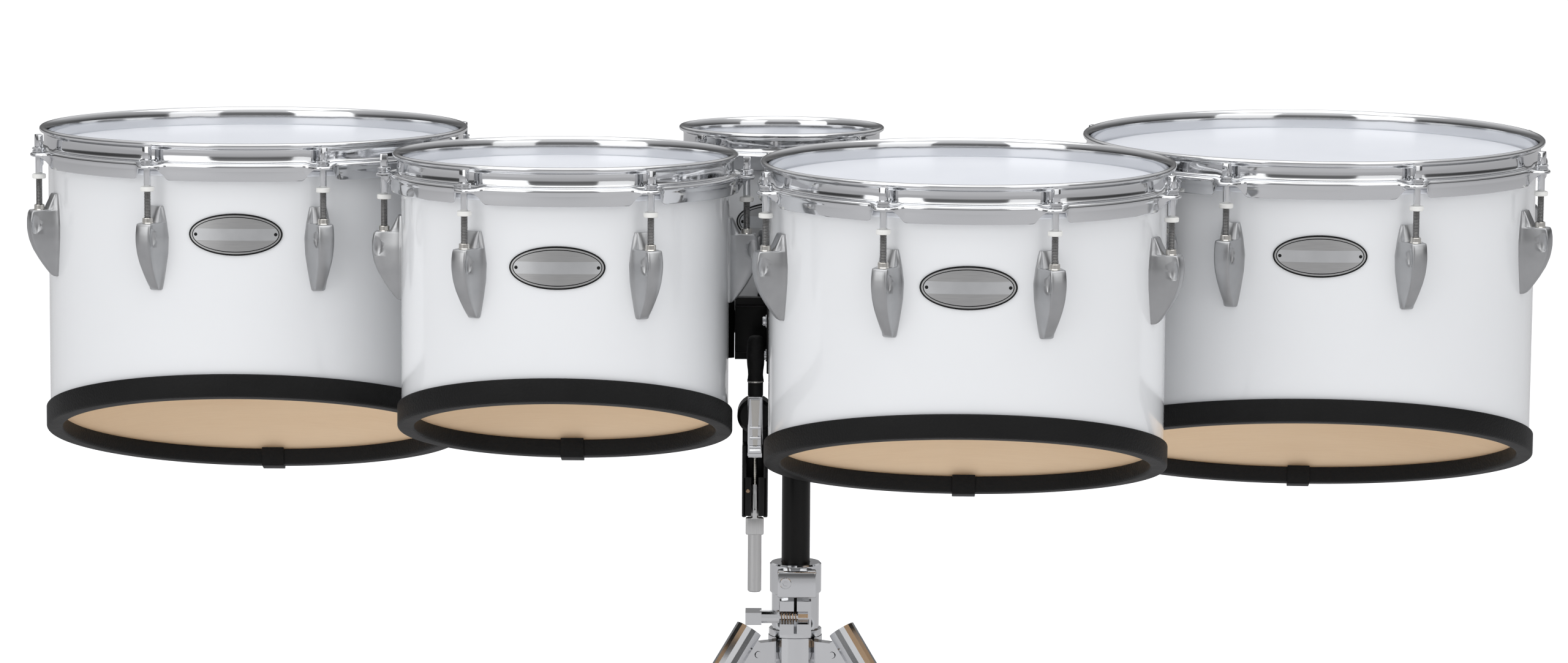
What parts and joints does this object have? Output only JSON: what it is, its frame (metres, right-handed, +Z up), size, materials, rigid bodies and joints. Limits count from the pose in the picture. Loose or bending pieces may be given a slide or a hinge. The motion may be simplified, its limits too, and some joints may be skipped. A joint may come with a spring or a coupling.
{
  "type": "marching tom set on a tripod stand",
  "caption": "Marching toms of stepped sizes with slant-cut white shells on one black frame, with a tilting head, a toggle clamp and a folding tripod stand.",
  "frame": {"origin": "middle of the whole set's box, on the floor, with the stand open and low", "axes": "+Z up, -Y to the audience, +Y to the player, +X to the largest drum"},
  "size_m": [1.2201, 0.7038, 0.8767],
  "materials": {
    "white_lacquer": "gloss white lacquer",
    "drum_film": "smooth clear-white film",
    "chrome": "polished chrome plate",
    "satin_alloy": "satin",
    "black_rubber": "matt black",
    "black_paint": "black powder coat",
    "badge_silver": "satin silver",
    "bronze": "plain bronze"
  },
  "bodies": {
    "base": {"centre_tube": "chrome", "leg_yoke": "chrome", "height_clamp": "chrome", "height_spring": "bronze"},
    "leg_1": {"leg_1": "chrome", "leg_1_foot": "black_rubber"},
    "brace_1": {"brace_1": "chrome"},
    "leg_2": {"leg_2": "chrome", "leg_2_foot": "black_rubber"},
    "brace_2": {"brace_2": "chrome"},
    "leg_3": {"leg_3": "chrome", "leg_3_foot": "black_rubber"},
    "brace_3": {"brace_3": "chrome"},
    "collar": {"brace_collar": "chrome"},
    "collar_bolt": {"collar_bolt": "chrome"},
    "height_bolt": {"height_bolt": "chrome"},
    "post": {"post": "black_paint", "memory_lock": "chrome", "tilt_socket": "black_paint"},
    "tilt_bolt": {"tilt_bolt": "chrome"},
    "set": {"tom_13_shell": "white_lacquer", "tom_13_head": "drum_film", "tom_13_edge_guard": "black_rubber", "tom_13_badge": "badge_silver", "tom_13_bracket": "black_paint", "tom_10_shell": "white_lacquer", "tom_10_head": "drum_film", "tom_10_edge_guard": "black_rubber", "tom_10_badge": "badge_silver", "tom_10_bracket": "black_paint", "tom_6_shell": "white_lacquer", "tom_6_head": "drum_film", "tom_6_edge_guard": "black_rubber", "tom_6_badge": "badge_silver", "tom_6_bracket": "black_paint", "tom_12_shell": "white_lacquer", "tom_12_head": "drum_film", "tom_12_edge_guard": "black_rubber", "tom_12_badge": "badge_silver", "tom_12_bracket": "black_paint", "tom_14_shell": "white_lacquer", "tom_14_head": "drum_film", "tom_14_edge_guard": "black_rubber", "tom_14_badge": "badge_silver", "tom_14_bracket": "black_paint", "frame_left": "black_paint", "frame_centre": "black_paint", "frame_right": "black_paint", "side_flange": "black_paint", "toggle_body": "black_paint", "tilt_saddle": "black_paint"},
    "lever": {"toggle_lever": "chrome", "toggle_grip": "black_rubber"},
    "jaw": {"toggle_jaw": "satin_alloy"},
    "drop_rod": {"drop_rod": "satin_alloy"},
    "hoop_tom_13": {"tom_13_hoop": "chrome"},
    "hoop_tom_10": {"tom_10_hoop": "chrome"},
    "hoop_tom_6": {"tom_6_hoop": "chrome"},
    "hoop_tom_12": {"tom_12_hoop": "chrome"},
    "hoop_tom_14": {"tom_14_hoop": "chrome"}
  },
  "joints": [
    {"name": "leg_1_fold", "type": "hinge", "parent": "base", "child": "leg_1", "pos_m": [-0.02832, -0.07595, 0.466], "axis": [0.5, -0.866, 0], "range_deg": [0, 33]},
    {"name": "brace_1_fold", "type": "hinge", "parent": "leg_1", "child": "brace_1", "pos_m": [-0.14062, -0.14079, 0.27594], "axis": [0.5, -0.866, 0], "range_deg": [-91, 0]},
    {"name": "leg_2_fold", "type": "hinge", "parent": "base", "child": "leg_2", "pos_m": [0.03872, -0.07595, 0.466], "axis": [0.5, 0.866, 0], "range_deg": [0, 33]},
    {"name": "brace_2_fold", "type": "hinge", "parent": "leg_2", "child": "brace_2", "pos_m": [0.15102, -0.14079, 0.27594], "axis": [0.5, 0.866, 0], "range_deg": [-91, 0]},
    {"name": "leg_3_fold", "type": "hinge", "parent": "base", "child": "leg_3", "pos_m": [0.0052, -0.0179, 0.466], "axis": [-1, 0, 0], "range_deg": [0, 33]},
    {"name": "brace_3_fold", "type": "hinge", "parent": "leg_3", "child": "brace_3", "pos_m": [0.0052, 0.11178, 0.27594], "axis": [-1, 0, 0], "range_deg": [-91, 0]},
    {"name": "collar_slide", "type": "slide", "parent": "base", "child": "collar", "axis": [0, 0, 1], "range_m": [-0.122, 0]},
    {"name": "collar_bolt_turn", "type": "hinge", "parent": "collar", "child": "collar_bolt", "pos_m": [0.0052, -0.0924, 0.204], "axis": [0, -1, 0], "range_deg": [0, 90]},
    {"name": "height_bolt_turn", "type": "hinge", "parent": "base", "child": "height_bolt", "pos_m": [0.0052, -0.0806, 0.4964], "axis": [1, 0, 0], "range_deg": [-35, 0]},
    {"name": "post_slide", "type": "slide", "parent": "base", "child": "post", "axis": [0, 0, 1], "range_m": [0, 0.25]},
    {"name": "tilt_bolt_turn", "type": "hinge", "parent": "post", "child": "tilt_bolt", "pos_m": [0.0052, -0.0566, 0.662], "axis": [1, 0, 0], "range_deg": [0, 80]},
    {"name": "set_tilt", "type": "hinge", "parent": "post", "child": "set", "pos_m": [0.0052, -0.0566, 0.662], "axis": [1, 0, 0], "range_deg": [-15, 15]},
    {"name": "tom_13_hoop_slide", "type": "slide", "parent": "set", "child": "hoop_tom_13", "axis": [0, 0.0157, 0.9999], "range_m": [0, 0.003]},
    {"name": "tom_10_hoop_slide", "type": "slide", "parent": "set", "child": "hoop_tom_10", "axis": [0, 0.0157, 0.9999], "range_m": [0, 0.003]},
    {"name": "tom_6_hoop_slide", "type": "slide", "parent": "set", "child": "hoop_tom_6", "axis": [0, 0.0148, 0.9999], "range_m": [0, 0.003]},
    {"name": "tom_12_hoop_slide", "type": "slide", "parent": "set", "child": "hoop_tom_12", "axis": [0, -0.0052, 1], "range_m": [0, 0.003]},
    {"name": "tom_14_hoop_slide", "type": "slide", "parent": "set", "child": "hoop_tom_14", "axis": [0, -0.0087, 1], "range_m": [0, 0.003]},
    {"name": "lever_swing", "type": "hinge", "parent": "set", "child": "lever", "pos_m": [-0.0273, -0.1274, 0.636], "axis": [1, 0, 0], "range_deg": [0, 110]},
    {"name": "jaw_slide", "type": "slide", "parent": "set", "child": "jaw", "axis": [0, -1, 0], "range_m": [0, 0.002]},
    {"name": "drop_rod_slide", "type": "slide", "parent": "set", "child": "drop_rod", "axis": [0, 0, 1], "range_m": [-0.04, 0.01]}
  ],
  "couplings": [
    {"joint": "brace_1_fold", "follows": "leg_1_fold", "ratio": -2.752},
    {"joint": "leg_2_fold", "follows": "leg_1_fold", "ratio": 1},
    {"joint": "brace_2_fold", "follows": "leg_1_fold", "ratio": -2.752},
    {"joint": "leg_3_fold", "follows": "leg_1_fold", "ratio": 1},
    {"joint": "brace_3_fold", "follows": "leg_1_fold", "ratio": -2.752},
    {"joint": "collar_slide", "follows": "leg_1_fold", "m_per_rad": -0.2113},
    {"joint": "jaw_slide", "follows": "lever_swing", "m_per_rad": 0.00104}
  ]
}
